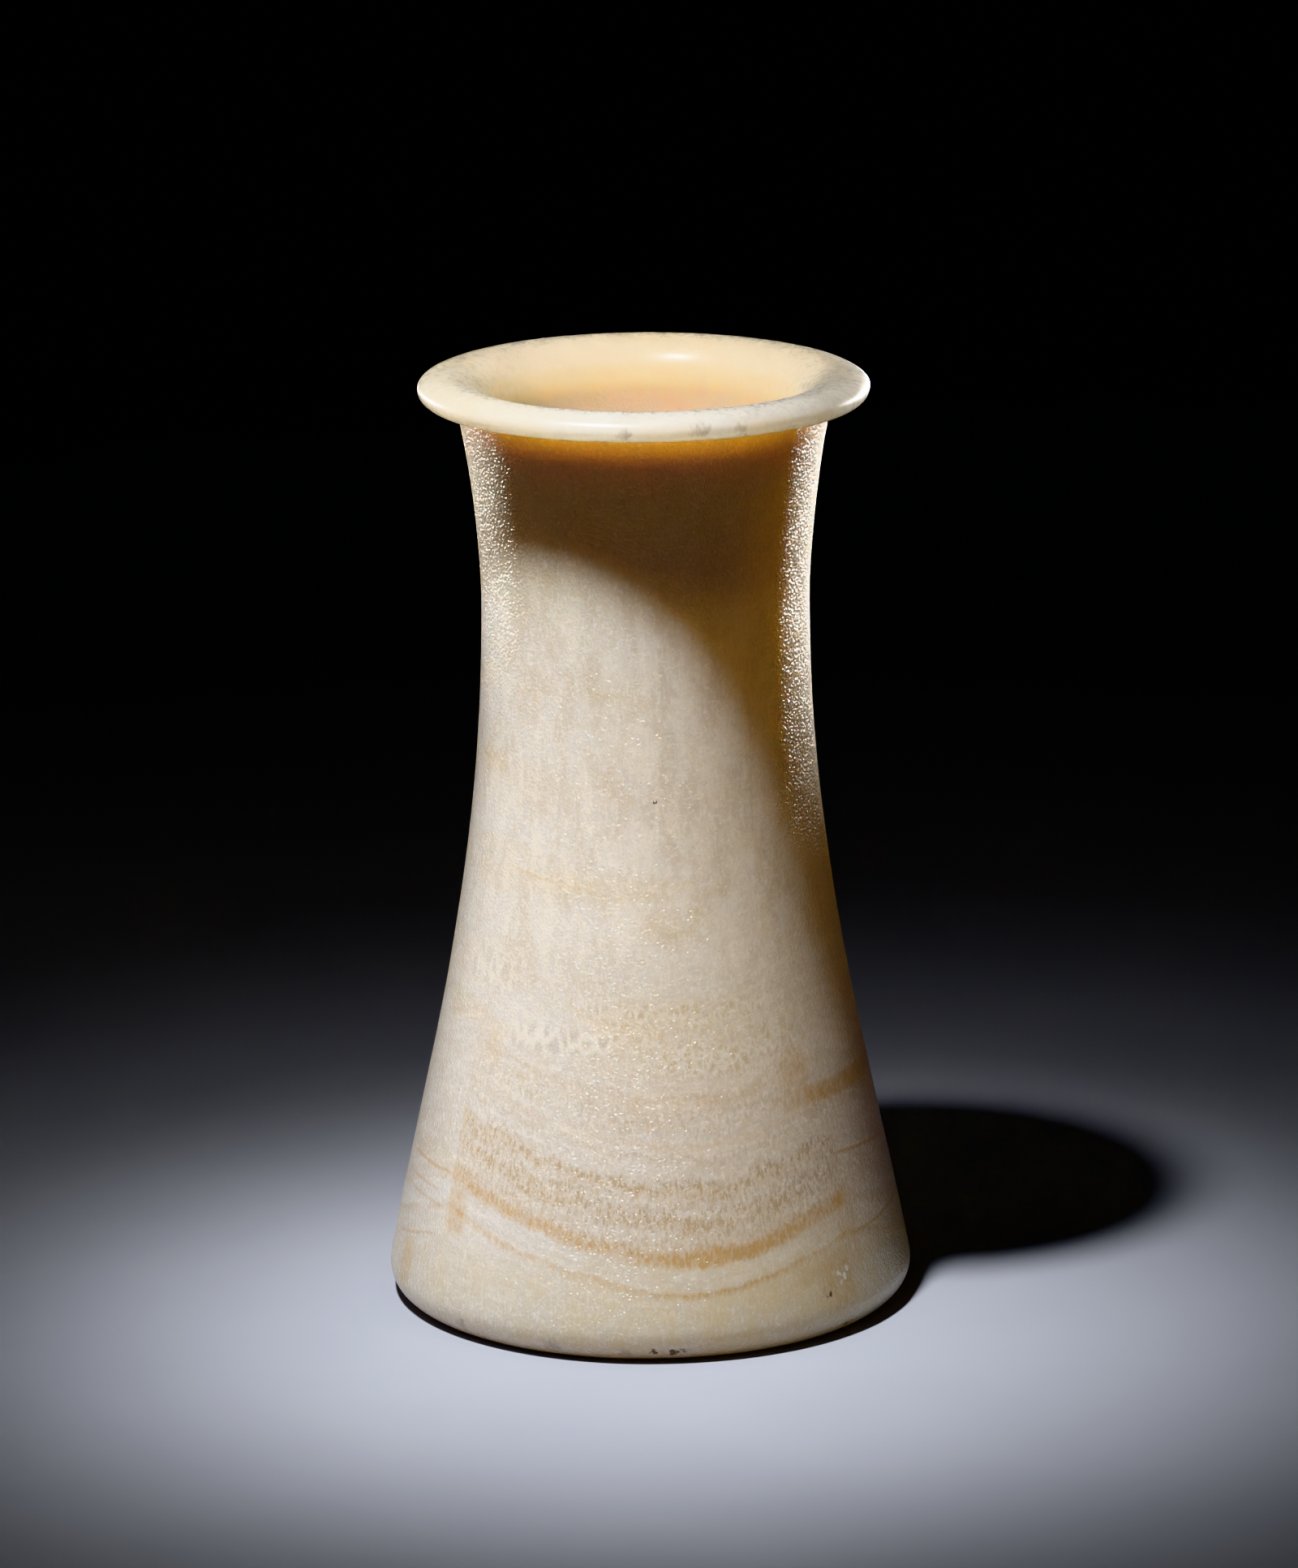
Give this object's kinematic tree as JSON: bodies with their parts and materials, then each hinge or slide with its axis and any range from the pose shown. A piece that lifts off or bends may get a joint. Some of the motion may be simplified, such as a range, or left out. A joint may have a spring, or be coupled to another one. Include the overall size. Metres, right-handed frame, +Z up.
{
  "type": "alabaster jar",
  "caption": "Tall waisted stone jar with a broad turned-out rim and a wide rounded foot, hollow and open at the top, standing on its flat underside.",
  "frame": {"origin": "middle of the flat underside, where the jar stands", "axes": "+Z up along the jar's axis, -Y towards the side that the picture shows"},
  "size_m": [0.14, 0.14, 0.25],
  "materials": {
    "alabaster": "satin-polished cream calcite with honey-coloured growth bands, faintly translucent"
  },
  "bodies": {
    "root": {"jar": "alabaster"}
  },
  "joints": []
}
